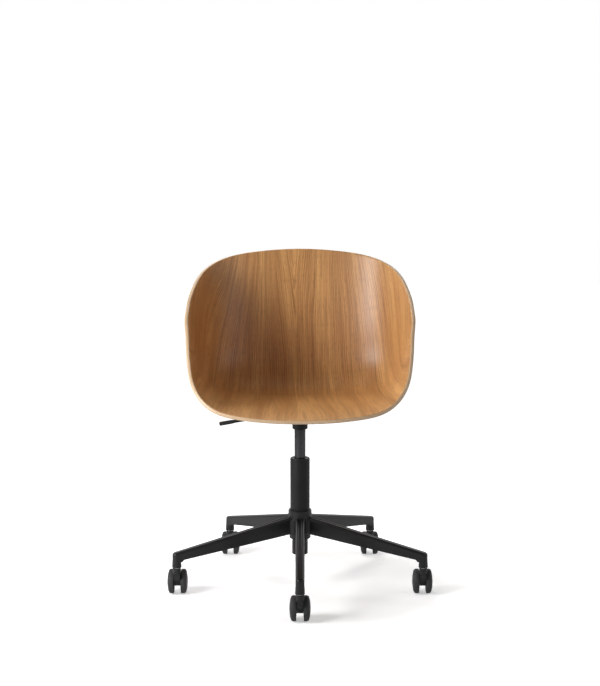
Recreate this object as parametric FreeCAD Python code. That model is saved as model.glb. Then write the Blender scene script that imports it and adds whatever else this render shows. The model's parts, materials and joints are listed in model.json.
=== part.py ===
"""Swivel office chair: formed plywood bucket seat on a gas lift, five-arm star base and twin-wheel castors.

Millimetres, +Z up, floor at z = 0, column axis on x = y = 0. The sitter faces -Y.
Each piece is written to its own STEP file in parts/.
"""
import FreeCAD, Part
import math
import os

Vector = FreeCAD.Vector
X_AXIS = Vector(1, 0, 0)
Y_AXIS = Vector(0, 1, 0)
Z_AXIS = Vector(0, 0, 1)

# Fits shared by the whole chair
running_clearance = 0.05
seating_gap = 0.1
wheel_side_gap = 0.3

# Star base
arm_count = 5
first_arm_angle = -90.0
castor_circle_radius = 325.0
arm_root_radius = 27.0
arm_root_top = 180.5
arm_end_top = 112.6
arm_root_bottom = 137.0
arm_end_bottom = 90.9
arm_root_width = 24.0
arm_end_width = 21.4
arm_shoulder_radius = 6.0
arm_root_fillet = 8.0
arm_wall = 4.0
groove_radius = 8.0
groove_depth = 1.8
groove_end_share = 0.82
channel_start = 37.0
channel_roof = 9.0
channel_bay_shares = (0.0, 0.3, 0.56, 0.79, 1.0)
rib_width = 3.0
post_bottom = 74.0
post_bottom_radius = 12.0
post_neck_radius = 10.2
post_neck_height = 105.0
post_web = 4.5

# Hub of the star base
hub_bottom = 124.0
hub_top = 198.5
hub_radius = 30.0
hub_ring_radius = 27.0
hub_ring_height = 12.0
hub_edge = 2.0

# Standpipe pressed into the hub
standpipe_top = 331.0
standpipe_radius = 25.0
standpipe_wall = 2.0
standpipe_seat_radius = 23.4
standpipe_foot_radius = 20.0
standpipe_foot_bottom = 82.0
standpipe_plate = 3.0
standpipe_step = 7.5
bush_length = 95.0
bush_flange_radius = 24.4
bush_flange_height = 1.5

# Gas lift
cylinder_radius = 14.0
cylinder_bottom = 157.0
cylinder_taper_start = 405.0
cylinder_top = 432.0
cylinder_top_radius = 13.4
cylinder_bore_radius = 12.25
cylinder_lip = 2.0
cylinder_lip_radius = 9.0
seal_height = 16.0
cavity_top = 400.0
rod_radius = 5.0
rod_neck_radius = 4.0
rod_neck_bottom = 75.0
rod_groove_radius = 3.2
piston_bottom = 328.0
piston_height = 12.0
rod_tip = 1.0
bearing_washer = 2.5
thrust_bearing_height = 5.0
bearing_radius = 16.5
bearing_inner_radius = 5.6
buffer_height = 16.5
buffer_radius = 12.0
foot_washer_radius = 9.0
foot_washer_height = 2.4
clip_radius = 7.0
clip_height = 2.0
clip_slot = 5.0
pin_radius = 3.0
pin_top = 437.3
pin_flange_radius = 5.0
pin_flange_height = 2.7

# Seat mechanism
plate_top = 464.0
plate_thickness = 3.0
plate_length = 180.0
plate_depth = 140.0
plate_corner = 14.0
plate_flange_height = 11.0
plate_flange_run = 126.0
socket_radius = 19.5
socket_bottom = 407.0
socket_edge = 2.0
socket_chamber_radius = 14.6
window_width = 15.0
window_bottom = 434.0
window_top = 455.0
screw_inset_x = 20.0
screw_inset_y = 10.0
screw_radius = 3.0
screw_hole_radius = 3.3
screw_head_radius = 6.0
screw_head_height = 3.5
screw_socket_radius = 2.3
screw_socket_depth = 2.0
screw_reach = 6.0
pad_radius = 11.0
insert_radius = 5.0
insert_depth = 7.5
insert_bore_depth = 6.8

# Height lever
lever_pivot_x = -38.0
lever_pivot_z = 442.0
lever_inner_reach = 43.0
lever_rod_radius = 4.2
lever_hub_radius = 7.0
lever_hub_width = 14.2
lever_bend_x = -75.0
lever_bend_radius = 40.0
lever_slope = 9.8
lever_tip_x = -205.0
grip_length = 38.0
grip_radius = 5.25
grip_neck_radius = 4.7
grip_neck_share = 0.3
grip_nose = 2.0
grip_wall = 5.5
pivot_pin_radius = 2.5
pivot_pin_head_radius = 4.2
pivot_pin_head = 1.6
ear_thickness = 3.0
ear_radius = 8.0

# Castors
wheel_radius = 31.0
castor_trail = 23.0
castor_body_width = 16.4
castor_body_top = 71.9
castor_boss_radius = 10.0
castor_boss_bottom = 57.0
castor_heel_height = 46.0
castor_axle_boss_radius = 12.0
wheel_tread_width = 10.3
wheel_tread_edge = 1.2
wheel_rim_set_back = 0.8
wheel_boss_radius = 20.0
wheel_corner_radius = 4.2
wheel_dome_height = 6.8
wheel_bore_depth = 11.0
axle_radius = 4.0
axle_reach = 19.0
stem_radius = 5.5
stem_top = 103.0
stem_bore_top = 104.0
stem_pin_radius = 4.0
stem_pin_bottom = 50.5
stem_pin_bore_bottom = 50.0
stem_collar_radius = 8.5
stem_edge = 1.5
grip_ring_bottom = 92.0
grip_ring_height = 4.0
grip_ring_depth = 0.8
grip_ring_slot = 1.5

# Seat shell: a flat sheet with this outline is bent over the form below
shell_thickness = 10.0
sheet_length = 805.0
sheet_half_width = 485.0
sheet_centre = 425.0
outline_shares = (
    0.881, 0.906, 0.926, 0.895, 0.920, 0.959, 1.065,
    0.934, 0.875, 0.852, 0.834, 0.783, 0.770,
)
sheet_edge = 1.8
sheet_cells = 24
sheet_margin_cells = 3
neighbour_share = 1 / 6
form_steps = 40
spine_steps = 160

# Form: the middle line runs from the front lip along the seat and up the back
lip_reach = 253.7
lip_height = 477.6
lip_run = 110.0
lip_angle = 6.3
seat_angle = -1.65
back_angle = 78.15
fold_start = 326.0
fold_end = 544.0
fold_blend = 60.0

# Form: the side walls leave the middle line along fanned sections
seat_cross_radius = 1815.0
back_cross_radius = 623.0
seat_wall_start = 152.8
seat_wall_end = 319.2
back_wall_start = 112.6
back_wall_end = 341.8
lip_wall_angle = 65.6
lip_wall_run = 260.0
seat_wall_angle = 71.6
back_wall_angle = 47.2
fan_angle = 83.1

# Places worked out from the sizes above
arm_step = 360.0 / arm_count
arm_end_radius = castor_circle_radius
plate_bottom = plate_top - plate_thickness
stem_collar_bottom = castor_body_top + seating_gap
bearing_base = standpipe_foot_bottom + standpipe_plate
upper_washer_bottom = bearing_base + bearing_washer + thrust_bearing_height
rod_shoulder = upper_washer_bottom + bearing_washer
screw_places = [
    (sx * (plate_length / 2 - screw_inset_x), sy * (plate_depth / 2 - screw_inset_y))
    for sx in (-1, 1)
    for sy in (-1, 1)
]


def save(name, shape):
    """Write one piece to parts/."""
    shape.exportStep(os.path.join("parts", name + ".step"))
    print(name, "solids", len(shape.Solids), "valid", shape.isValid())


def revolve(profile):
    """Turn a closed outline of (radius, height) points about the column axis."""
    points = [Vector(r, 0, z) for r, z in profile]
    face = Part.Face(Part.makePolygon(points + points[:1]))
    return face.revolve(Vector(0, 0, 0), Z_AXIS, 360)


def disc(radius, bottom, top):
    """Upright round bar on the column axis."""
    return Part.makeCylinder(radius, top - bottom, Vector(0, 0, bottom))


def ring(inner, outer, bottom, top):
    """Upright tube on the column axis."""
    return disc(outer, bottom, top).cut(disc(inner, bottom, top))


def box(x0, x1, y0, y1, z0, z1):
    """Block between the given faces."""
    return Part.makeBox(x1 - x0, y1 - y0, z1 - z0, Vector(x0, y0, z0))


def slab(outline, direction):
    """Closed flat outline pushed along a vector."""
    return Part.Face(Part.makePolygon(outline + outline[:1])).extrude(direction)


def moved(shape, x, y, z):
    """Copy of a shape at another place."""
    copy = shape.copy()
    copy.translate(Vector(x, y, z))
    return copy


def turned(shape, angle):
    """Copy of a shape turned about the column axis."""
    copy = shape.copy()
    copy.rotate(Vector(0, 0, 0), Z_AXIS, angle)
    return copy


def ease(t):
    """Smooth step from 0 to 1."""
    t = min(max(t, 0.0), 1.0)
    return t * t * (3 - 2 * t)


def mix(start, end, share):
    """Value between two others."""
    return start + (end - start) * share


def spine(b):
    """Depth and height of the form's middle line at the distance b from the front lip."""
    step = b / spine_steps
    y = -lip_reach
    z = lip_height
    for index in range(spine_steps):
        along = (index + 0.5) * step
        angle = mix(lip_angle, seat_angle, ease(along / lip_run))
        angle += (back_angle - seat_angle) * ease((along - fold_start) / (fold_end - fold_start))
        y += math.cos(math.radians(angle)) * step
        z += math.sin(math.radians(angle)) * step
    return y, z


def form_point(a, b):
    """Point of the form's inner face under the sheet point a across, b along."""
    y, z = spine(b)
    back = ease((b - fold_start + fold_blend) / (fold_end - fold_start + 2 * fold_blend))
    wall_start = mix(seat_wall_start, back_wall_start, back)
    wall_end = mix(seat_wall_end, back_wall_end, back)
    cross_bend = mix(1 / seat_cross_radius, 1 / back_cross_radius, back)
    seat_wall = mix(lip_wall_angle, seat_wall_angle, ease(b / lip_wall_run))
    wall_angle = math.radians(mix(seat_wall, back_wall_angle, back))
    fan = math.radians(fan_angle * b / sheet_length)
    step = abs(a) / form_steps
    across = 0.0
    rise = 0.0
    for index in range(form_steps):
        along = (index + 0.5) * step
        angle = cross_bend * along + wall_angle * ease((along - wall_start) / (wall_end - wall_start))
        across += math.cos(angle) * step
        rise += math.sin(angle) * step
    return Vector(math.copysign(across, a), y - rise * math.sin(fan), z + rise * math.cos(fan))


def form_normal(a, b, reach):
    """Unit normal of the form, pointing into the seat."""
    across = form_point(a + reach, b) - form_point(a - reach, b)
    along = form_point(a, b + reach) - form_point(a, b - reach)
    normal = across.cross(along)
    normal.normalize()
    return normal


def spline_poles(row):
    """Control values of an even cubic spline that runs through a row of points."""
    inner = [
        row[k] * (1 + 2 * neighbour_share) - (row[k - 1] + row[k + 1]) * neighbour_share
        for k in range(1, len(row) - 1)
    ]
    return [row[0]] + inner + [row[-1]]


class Sheet:
    """The flat sheet's grid of points, laid on the form."""

    def __init__(self):
        self.cell = 2 * sheet_half_width / sheet_cells
        self.left = -sheet_half_width - sheet_margin_cells * self.cell
        self.front = -sheet_margin_cells * self.cell
        columns = sheet_cells + 2 * sheet_margin_cells
        rows = math.ceil(sheet_length / self.cell) + 2 * sheet_margin_cells
        self.points = []
        self.normals = []
        for i in range(columns + 1):
            a = self.left + i * self.cell
            places = [(a, self.front + j * self.cell) for j in range(rows + 1)]
            self.points.append([form_point(*place) for place in places])
            self.normals.append([form_normal(*place, self.cell / 100) for place in places])

    def surface(self, depth):
        """Spline surface at a depth below the inner face."""
        grid = [
            [point - normal * depth for point, normal in zip(points, normals)]
            for points, normals in zip(self.points, self.normals)
        ]
        half = [spline_poles(line) for line in grid]
        poles = [list(line) for line in zip(*[spline_poles(list(line)) for line in zip(*half)])]
        multiplicities = [[4] + [1] * (count - 4) + [4] for count in (len(poles), len(poles[0]))]
        knots = [[float(k) for k in range(len(each))] for each in multiplicities]
        surface = Part.BSplineSurface()
        surface.buildFromPolesMultsKnots(poles, *multiplicities, *knots, False, False, 3, 3)
        return surface

    def outline(self, surface, inset):
        """Closed edge of the sheet on a surface, set in from the sheet's outline."""
        count = 2 * (len(outline_shares) - 1)
        poles = []
        for k in range(count):
            share = outline_shares[min(k, count - k)]
            angle = math.radians(-90 + 360 * k / count)
            radius = share * sheet_half_width - inset
            across = (radius * math.cos(angle) - self.left) / self.cell
            along = (sheet_centre + radius * math.sin(angle) - self.front) / self.cell
            poles.append(FreeCAD.Base.Vector2d(across - 1, along - 1))
        knots = [float(k) for k in range(count + 1)]
        curve = Part.Geom2d.BSplineCurve2d()
        curve.buildFromPolesMultsKnots(poles, [1] * (count + 1), knots, True, 3)
        return curve.toShape(surface)


def shell_blank():
    """Bent sheet with eased edges, before the fixing holes."""
    sheet = Sheet()
    layers = [
        (0, sheet_edge),
        (sheet_edge, 0),
        (shell_thickness - sheet_edge, 0),
        (shell_thickness, sheet_edge),
    ]
    surfaces = [sheet.surface(depth) for depth, inset in layers]
    edges = [sheet.outline(surface, inset) for surface, (depth, inset) in zip(surfaces, layers)]
    faces = [
        Part.Face(surfaces[0], Part.Wire([edges[0]])),
        Part.Face(surfaces[-1], Part.Wire([edges[-1]])),
    ]
    for lower, upper in zip(edges, edges[1:]):
        faces += Part.makeRuledSurface(lower, upper).Faces
    shell = Part.makeShell(faces)
    shell.sewShape()
    solid = Part.makeSolid(shell.Shells[0])
    solid.fix(seating_gap / 10, seating_gap / 10, seating_gap / 10)
    return solid


def underside(shell, x, y):
    """Height of the shell's lower face above a point of the plate."""
    probe = Part.makeLine(Vector(x, y, plate_top), Vector(x, y, plate_top + 10 * shell_thickness))
    return shell.common(probe).BoundBox.ZMin


def seat_fixings(blank):
    """Shell with its four blind holes, and the inserts, pads and screws that fix it."""
    shell = blank
    inserts = []
    pads = []
    screws = []
    for x, y in screw_places:
        low = underside(blank, x, y)
        hole_top = low + insert_depth
        rod = moved(disc(insert_radius, plate_top, hole_top - seating_gap), x, y, 0)
        hole = moved(disc(insert_radius + running_clearance, plate_top, hole_top), x, y, 0)
        bore = moved(disc(screw_radius + running_clearance, plate_top, low + insert_bore_depth), x, y, 0)
        inserts.append(rod.common(blank).cut(bore))
        pad = moved(disc(pad_radius, plate_top, hole_top), x, y, 0)
        pads.append(pad.cut(blank).cut(moved(disc(screw_hole_radius, plate_top, hole_top), x, y, 0)))
        shell = shell.cut(hole)
        head_bottom = plate_bottom - screw_head_height
        screw = disc(screw_head_radius, head_bottom, plate_bottom)
        screw = screw.fuse(disc(screw_radius, head_bottom, low + screw_reach))
        screw = screw.cut(disc(screw_socket_radius, head_bottom, head_bottom + screw_socket_depth))
        screws.append(moved(screw, x, y, 0))
    return shell, Part.makeCompound(inserts), Part.makeCompound(pads), Part.makeCompound(screws)


def arm_top(s):
    """Height of an arm's top line at the distance s from the column axis."""
    share = (s - arm_root_radius) / (arm_end_radius - arm_root_radius)
    return mix(arm_root_top, arm_end_top, share)


def arm_bottom(s):
    """Height of an arm's lower line."""
    share = (s - arm_root_radius) / (arm_end_radius - arm_root_radius)
    return mix(arm_root_bottom, arm_end_bottom, share)


def arm_plan(inset, start, height):
    """Tall block with the arm's outline seen from above, walls set in."""
    slope = math.atan((arm_root_width - arm_end_width) / 2 / (arm_end_radius - arm_root_radius))
    share = (start - arm_root_radius) / (arm_end_radius - arm_root_radius)
    root = mix(arm_root_width, arm_end_width, share) / 2 - inset
    radius = (arm_end_width / 2 - inset) * math.cos(slope)
    end = Vector(arm_end_radius + radius * math.sin(slope), radius * math.cos(slope), 0)
    corners = [Vector(start, root, 0), Vector(start, -root, 0), Vector(end.x, -end.y, 0), end]
    edges = [Part.makeLine(p, q) for p, q in zip(corners, corners[1:3])]
    edges.append(Part.Arc(corners[2], Vector(arm_end_radius + radius, 0, 0), end).toShape())
    edges.append(Part.makeLine(end, corners[0]))
    return Part.Face(Part.Wire(edges)).extrude(Vector(0, 0, height))


def arm_side(outline):
    """Wide block with an outline of (distance, height) points seen from the side."""
    points = [Vector(s, -arm_root_width, z) for s, z in outline]
    return slab(points, Vector(0, 2 * arm_root_width, 0))


def channel():
    """Hollow under an arm, in bays parted by cross ribs."""
    end = arm_end_radius - post_bottom_radius
    stops = [mix(channel_start, end, share) for share in channel_bay_shares]
    walls = arm_plan(arm_wall, channel_start, hub_top)
    bays = []
    for start, stop in zip(stops, stops[1:]):
        left = start + rib_width / 2
        right = stop - rib_width / 2
        outline = [
            (left, post_bottom),
            (right, post_bottom),
            (right, arm_top(right) - channel_roof),
            (left, arm_top(left) - channel_roof),
        ]
        bays.append(arm_side(outline).common(walls))
    return Part.makeCompound(bays)


def arm():
    """One arm of the star, along +X, with its castor post."""
    tip = arm_end_radius + post_bottom_radius
    post_side = arm_end_radius - post_bottom_radius
    outline = [
        (arm_root_radius, arm_top(arm_root_radius)),
        (tip, arm_top(tip)),
        (tip, arm_bottom(post_side) - post_web),
        (post_side, arm_bottom(post_side) - post_web),
        (post_side - post_web, arm_bottom(post_side - post_web)),
        (arm_root_radius, arm_bottom(arm_root_radius)),
    ]
    body = arm_side(outline).common(arm_plan(0, arm_root_radius, hub_top))
    shoulders = []
    for edge in body.Edges:
        ends = [vertex.Point for vertex in edge.Vertexes]
        on_top = all(abs(p.z - arm_top(p.x)) < running_clearance for p in ends)
        if on_top and max(p.x for p in ends) > arm_root_radius + arm_wall:
            shoulders.append(edge)
    body = body.makeFillet(arm_shoulder_radius, shoulders)
    groove_end = mix(arm_root_radius, arm_end_radius, groove_end_share)
    start = Vector(arm_root_radius, 0, arm_top(arm_root_radius) + groove_radius - groove_depth)
    finish = Vector(groove_end, 0, arm_top(groove_end) + groove_radius)
    run = finish - start
    body = body.cut(Part.makeCylinder(groove_radius, run.Length * 2, start - run / 2, run))
    body = body.cut(channel())
    post = Part.makeCone(
        post_bottom_radius,
        post_neck_radius,
        post_neck_height - post_bottom,
        Vector(arm_end_radius, 0, post_bottom),
    )
    return body.multiFuse([post, root_fillets()])


def root_fillets():
    """Hollow corners between the hub and both sides of an arm."""
    reach = hub_radius + arm_root_fillet
    offset = arm_root_width / 2 + arm_root_fillet
    along = math.sqrt(reach * reach - offset * offset)
    top = arm_top(along) - arm_shoulder_radius
    bottom = arm_root_bottom + hub_edge
    sides = []
    for side in (-1, 1):
        centre = Vector(along, side * offset, bottom)
        on_hub = Vector(centre.x * hub_radius / reach, centre.y * hub_radius / reach, bottom)
        on_arm = Vector(along, side * arm_root_width / 2, bottom)
        middle = (on_hub + on_arm) / 2 - centre
        middle = centre + middle * (arm_root_fillet / middle.Length)
        edges = [Part.Arc(on_hub, middle, on_arm).toShape()]
        corners = [on_arm, Vector(along, 0, bottom), Vector(arm_root_radius, 0, bottom), on_hub]
        edges += [Part.makeLine(p, q) for p, q in zip(corners, corners[1:])]
        sides.append(Part.Face(Part.Wire(edges)).extrude(Vector(0, 0, top - bottom)))
    return sides[0].fuse(sides[1])


def star_base():
    """Cast hub and arms in one piece, bored for the standpipe and the castor stems."""
    hub = revolve([
        (0, hub_bottom),
        (hub_ring_radius, hub_bottom),
        (hub_ring_radius, hub_bottom + hub_ring_height),
        (hub_radius, hub_bottom + hub_ring_height + hub_radius - hub_ring_radius),
        (hub_radius, hub_top - hub_edge),
        (hub_radius - hub_edge, hub_top),
        (0, hub_top),
    ])
    one = arm()
    arms = [turned(one, first_arm_angle + index * arm_step) for index in range(arm_count)]
    base = hub.multiFuse(arms).removeSplitter()
    bore = revolve([
        (0, hub_bottom - hub_edge),
        (standpipe_seat_radius + running_clearance, hub_bottom - hub_edge),
        (standpipe_seat_radius + running_clearance, hub_bottom + standpipe_step),
        (standpipe_radius + running_clearance, hub_top),
        (standpipe_radius + running_clearance, hub_top + hub_edge),
        (0, hub_top + hub_edge),
    ])
    stem_bore = disc(stem_radius + running_clearance, post_bottom, stem_bore_top)
    stem_bores = [moved(stem_bore, x, y, 0) for x, y in castor_places()]
    return base.cut([bore] + stem_bores)


def castor_places():
    """Stem axes on the castor circle."""
    angles = [math.radians(first_arm_angle + index * arm_step) for index in range(arm_count)]
    return [(castor_circle_radius * math.cos(t), castor_circle_radius * math.sin(t)) for t in angles]


def standpipe():
    """Outer tube with a tapered seat in the hub and a closed foot."""
    foot = standpipe_foot_radius - standpipe_wall
    seat = standpipe_seat_radius - standpipe_wall
    top = standpipe_radius - standpipe_wall
    step_top = hub_bottom + standpipe_step
    return revolve([
        (rod_neck_radius + seating_gap, standpipe_foot_bottom),
        (standpipe_foot_radius, standpipe_foot_bottom),
        (standpipe_foot_radius, hub_bottom),
        (standpipe_seat_radius, step_top),
        (standpipe_radius, hub_top),
        (standpipe_radius, standpipe_top),
        (top, standpipe_top),
        (top, hub_top),
        (seat, step_top),
        (foot, hub_bottom),
        (foot, bearing_base),
        (rod_neck_radius + seating_gap, bearing_base),
    ])


def guide_bush():
    """Plastic guide for the gas cylinder, its flange on the standpipe's rim."""
    outer = standpipe_radius - standpipe_wall - running_clearance
    inner = cylinder_radius + running_clearance
    body = ring(inner, outer, standpipe_top - bush_length, standpipe_top + bush_flange_height)
    return body.fuse(ring(inner, bush_flange_radius, standpipe_top, standpipe_top + bush_flange_height))


def piston_rod():
    """Rod that stands on the thrust bearing and passes the standpipe's foot."""
    clip_bottom = standpipe_foot_bottom - seating_gap - foot_washer_height - clip_height
    piston_seat = rod_neck_radius
    return revolve([
        (0, rod_neck_bottom),
        (rod_neck_radius, rod_neck_bottom),
        (rod_neck_radius, clip_bottom),
        (rod_groove_radius, clip_bottom),
        (rod_groove_radius, clip_bottom + clip_height),
        (rod_neck_radius, clip_bottom + clip_height),
        (rod_neck_radius, rod_shoulder),
        (rod_radius, rod_shoulder),
        (rod_radius, piston_bottom),
        (piston_seat, piston_bottom),
        (piston_seat, piston_bottom + piston_height + rod_tip),
        (0, piston_bottom + piston_height + rod_tip),
    ])


def foot_clip():
    """Spring clip in the rod's groove under the foot washer."""
    top = standpipe_foot_bottom - seating_gap - foot_washer_height
    clip = ring(rod_groove_radius + running_clearance, clip_radius, top - clip_height, top)
    slot = box(0, clip_radius, -clip_slot / 2, clip_slot / 2, top - clip_height, top)
    return clip.cut(slot)


def foot_washer():
    """Washer between the standpipe's foot and the clip."""
    top = standpipe_foot_bottom - seating_gap
    return ring(rod_neck_radius + running_clearance, foot_washer_radius, top - foot_washer_height, top)


def gas_cylinder():
    """Moving tube of the lift with a closed tapered top."""
    return revolve([
        (cylinder_lip_radius, cylinder_bottom),
        (cylinder_radius, cylinder_bottom),
        (cylinder_radius, cylinder_taper_start),
        (cylinder_top_radius, cylinder_top),
        (pin_radius + running_clearance, cylinder_top),
        (pin_radius + running_clearance, cavity_top),
        (cylinder_bore_radius, cavity_top),
        (cylinder_bore_radius, cylinder_bottom + cylinder_lip),
        (cylinder_lip_radius, cylinder_bottom + cylinder_lip),
    ])


def rod_seal():
    """Guide and seal of the rod at the foot of the gas cylinder."""
    bottom = cylinder_bottom + cylinder_lip
    outer = cylinder_bore_radius - running_clearance
    return ring(rod_radius + running_clearance, outer, bottom, bottom + seal_height)


def release_pin():
    """Valve button of the gas lift, pressed by the lever."""
    flange_top = cavity_top - wheel_side_gap
    flange = disc(pin_flange_radius, flange_top - pin_flange_height, flange_top)
    return flange.fuse(disc(pin_radius, flange_top - pin_flange_height, pin_top))


def ear(side):
    """One of the two ears that carry the lever's pivot pin."""
    inner = lever_hub_width / 2 + wheel_side_gap
    near = side * inner
    far = side * (inner + ear_thickness)
    low = min(near, far)
    high = max(near, far)
    eye = Part.makeCylinder(ear_radius, ear_thickness, Vector(lever_pivot_x, low, lever_pivot_z), Y_AXIS)
    web = box(lever_pivot_x - ear_radius, lever_pivot_x + ear_radius, low, high, lever_pivot_z, plate_bottom)
    return eye.fuse(web)


def seat_mechanism():
    """Mounting plate with folded edges, taper socket and lever ears."""
    plate = box(
        -plate_length / 2, plate_length / 2, -plate_depth / 2, plate_depth / 2, plate_bottom, plate_top
    )
    corners = [edge for edge in plate.Edges if abs(edge.Length - plate_thickness) < running_clearance]
    plate = plate.makeFillet(plate_corner, corners)
    flange_bottom = plate_top - plate_flange_height
    parts = [disc(socket_radius, socket_bottom + socket_edge, plate_bottom)]
    mouth_edge = Vector(0, 0, socket_bottom)
    parts.append(Part.makeCone(socket_radius - socket_edge, socket_radius, socket_edge, mouth_edge))
    for side in (-1, 1):
        edge = side * (plate_depth - plate_thickness) / 2
        parts.append(box(
            -plate_flange_run / 2,
            plate_flange_run / 2,
            edge - plate_thickness / 2,
            edge + plate_thickness / 2,
            flange_bottom,
            plate_bottom,
        ))
        parts.append(ear(side))
    body = plate.multiFuse(parts).removeSplitter()
    taper = (cylinder_radius - cylinder_top_radius) / (cylinder_top - cylinder_taper_start)
    mouth = cylinder_radius - (socket_bottom - cylinder_taper_start) * taper
    bore = revolve([
        (0, socket_bottom),
        (mouth + running_clearance, socket_bottom),
        (cylinder_top_radius + running_clearance, cylinder_top),
        (socket_chamber_radius, cylinder_top),
        (socket_chamber_radius, plate_bottom),
        (0, plate_bottom),
    ])
    window = box(-socket_radius, 0, -window_width / 2, window_width / 2, window_bottom, window_top)
    pin_hole = Part.makeCylinder(
        pivot_pin_radius + running_clearance,
        plate_depth,
        Vector(lever_pivot_x, -plate_depth / 2, lever_pivot_z),
        Y_AXIS,
    )
    flange_keep = box(
        -plate_length, plate_length, -plate_depth / 2, plate_depth / 2, flange_bottom, plate_top
    ).cut(box(
        -plate_length,
        plate_length,
        plate_thickness * 2 - plate_depth / 2,
        plate_depth / 2 - plate_thickness * 2,
        flange_bottom,
        plate_top,
    ))
    screw_holes = [
        moved(disc(screw_hole_radius, plate_bottom, plate_top), x, y, 0)
        for x, y in screw_places
    ]
    return body.cut([bore, window, pin_hole.cut(flange_keep)] + screw_holes)


def lever_pivot_pin():
    """Pin through the two ears, with one head."""
    half = lever_hub_width / 2 + wheel_side_gap + ear_thickness + pivot_pin_head
    shaft = Part.makeCylinder(
        pivot_pin_radius, 2 * half, Vector(lever_pivot_x, -half, lever_pivot_z), Y_AXIS
    )
    head = Part.makeCylinder(
        pivot_pin_head_radius, pivot_pin_head, Vector(lever_pivot_x, -half, lever_pivot_z), Y_AXIS
    )
    return shaft.fuse(head)


def lever_line():
    """Bend, inner tangent point, outer tangent point and direction of the lever's sloping part."""
    slope = math.radians(lever_slope)
    down = Vector(-math.cos(slope), 0, -math.sin(slope))
    corner = Vector(lever_bend_x, 0, lever_pivot_z)
    tangent = lever_bend_radius * math.tan(slope / 2)
    return corner, corner + X_AXIS * tangent, corner + down * tangent, down


def lever_tip():
    """Outer end of the grip."""
    corner, inner, outer, down = lever_line()
    return corner + down * ((lever_bend_x - lever_tip_x) / -down.x)


def lever():
    """Bent steel rod with its pivot hub."""
    corner, inner, outer, down = lever_line()
    slope = math.radians(lever_slope)
    start = Vector(lever_pivot_x + lever_inner_reach, 0, lever_pivot_z)
    centre = inner - Z_AXIS * lever_bend_radius
    middle = centre + Vector(-math.sin(slope / 2), 0, math.cos(slope / 2)) * lever_bend_radius
    end = lever_tip() - down * grip_wall
    path = Part.Wire([
        Part.makeLine(start, inner),
        Part.Arc(inner, middle, outer).toShape(),
        Part.makeLine(outer, end),
    ])
    section = Part.Wire(Part.Circle(start, X_AXIS, lever_rod_radius).toShape())
    rod = path.makePipeShell([section], True, False)
    hub_start = Vector(lever_pivot_x, -lever_hub_width / 2, lever_pivot_z)
    hub = Part.makeCylinder(lever_hub_radius, lever_hub_width, hub_start, Y_AXIS)
    bore = Part.makeCylinder(pivot_pin_radius + running_clearance, lever_hub_width, hub_start, Y_AXIS)
    return rod.fuse(hub).cut(bore)


def lever_grip():
    """Plastic grip on the lever's outer end, narrower towards the rod."""
    corner, inner, outer, down = lever_line()
    tip = lever_tip()
    neck_length = grip_length * grip_neck_share
    nose = Part.makeCone(grip_radius - grip_nose, grip_radius, grip_nose, tip, down * -1)
    handle = Part.makeCylinder(
        grip_radius, grip_length - grip_nose - neck_length, tip - down * grip_nose, down * -1
    )
    neck_start = tip - down * (grip_length - neck_length)
    neck = Part.makeCone(grip_radius, grip_neck_radius, neck_length, neck_start, down * -1)
    body = nose.multiFuse([handle, neck])
    bore_end = tip - down * (grip_wall - running_clearance)
    bore = Part.makeCylinder(lever_rod_radius + running_clearance, grip_length, bore_end, down * -1)
    return body.cut(bore)


def tangent_point(point, centre, radius, side):
    """Point where a line from a point touches a circle, on the chosen side."""
    run = centre - point
    reach = math.acos(radius / run.Length)
    angle = math.atan2(-run.z, -run.y) + side * reach
    return centre + Vector(0, math.cos(angle), math.sin(angle)) * radius


def castor_body():
    """Slim body between the two wheels, its stem axis on x = y = 0."""
    half = castor_body_width / 2
    axle = Vector(-half, castor_trail, wheel_radius)
    heel = Vector(-half, -castor_boss_radius, castor_heel_height)
    front_top = Vector(-half, -castor_boss_radius, castor_boss_bottom)
    back_top = Vector(-half, castor_boss_radius, castor_boss_bottom)
    outline = [
        front_top,
        back_top,
        tangent_point(back_top, axle, castor_axle_boss_radius, -1),
        axle,
        tangent_point(heel, axle, castor_axle_boss_radius, 1),
        heel,
    ]
    web = slab(outline, X_AXIS * castor_body_width)
    boss = Part.makeCylinder(castor_axle_boss_radius, castor_body_width, axle, X_AXIS)
    head = disc(castor_boss_radius, castor_boss_bottom, castor_body_top)
    body = web.multiFuse([boss, head]).removeSplitter()
    pin_bore = disc(stem_pin_radius + running_clearance, stem_pin_bore_bottom, castor_body_top)
    axle_bore = Part.makeCylinder(axle_radius + running_clearance, castor_body_width, axle, X_AXIS)
    return body.cut([pin_bore, axle_bore])


def castor_axle():
    """Pin through the body and into both wheels."""
    start = Vector(-axle_reach, castor_trail, wheel_radius)
    return Part.makeCylinder(axle_radius, 2 * axle_reach, start, X_AXIS)


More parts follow.
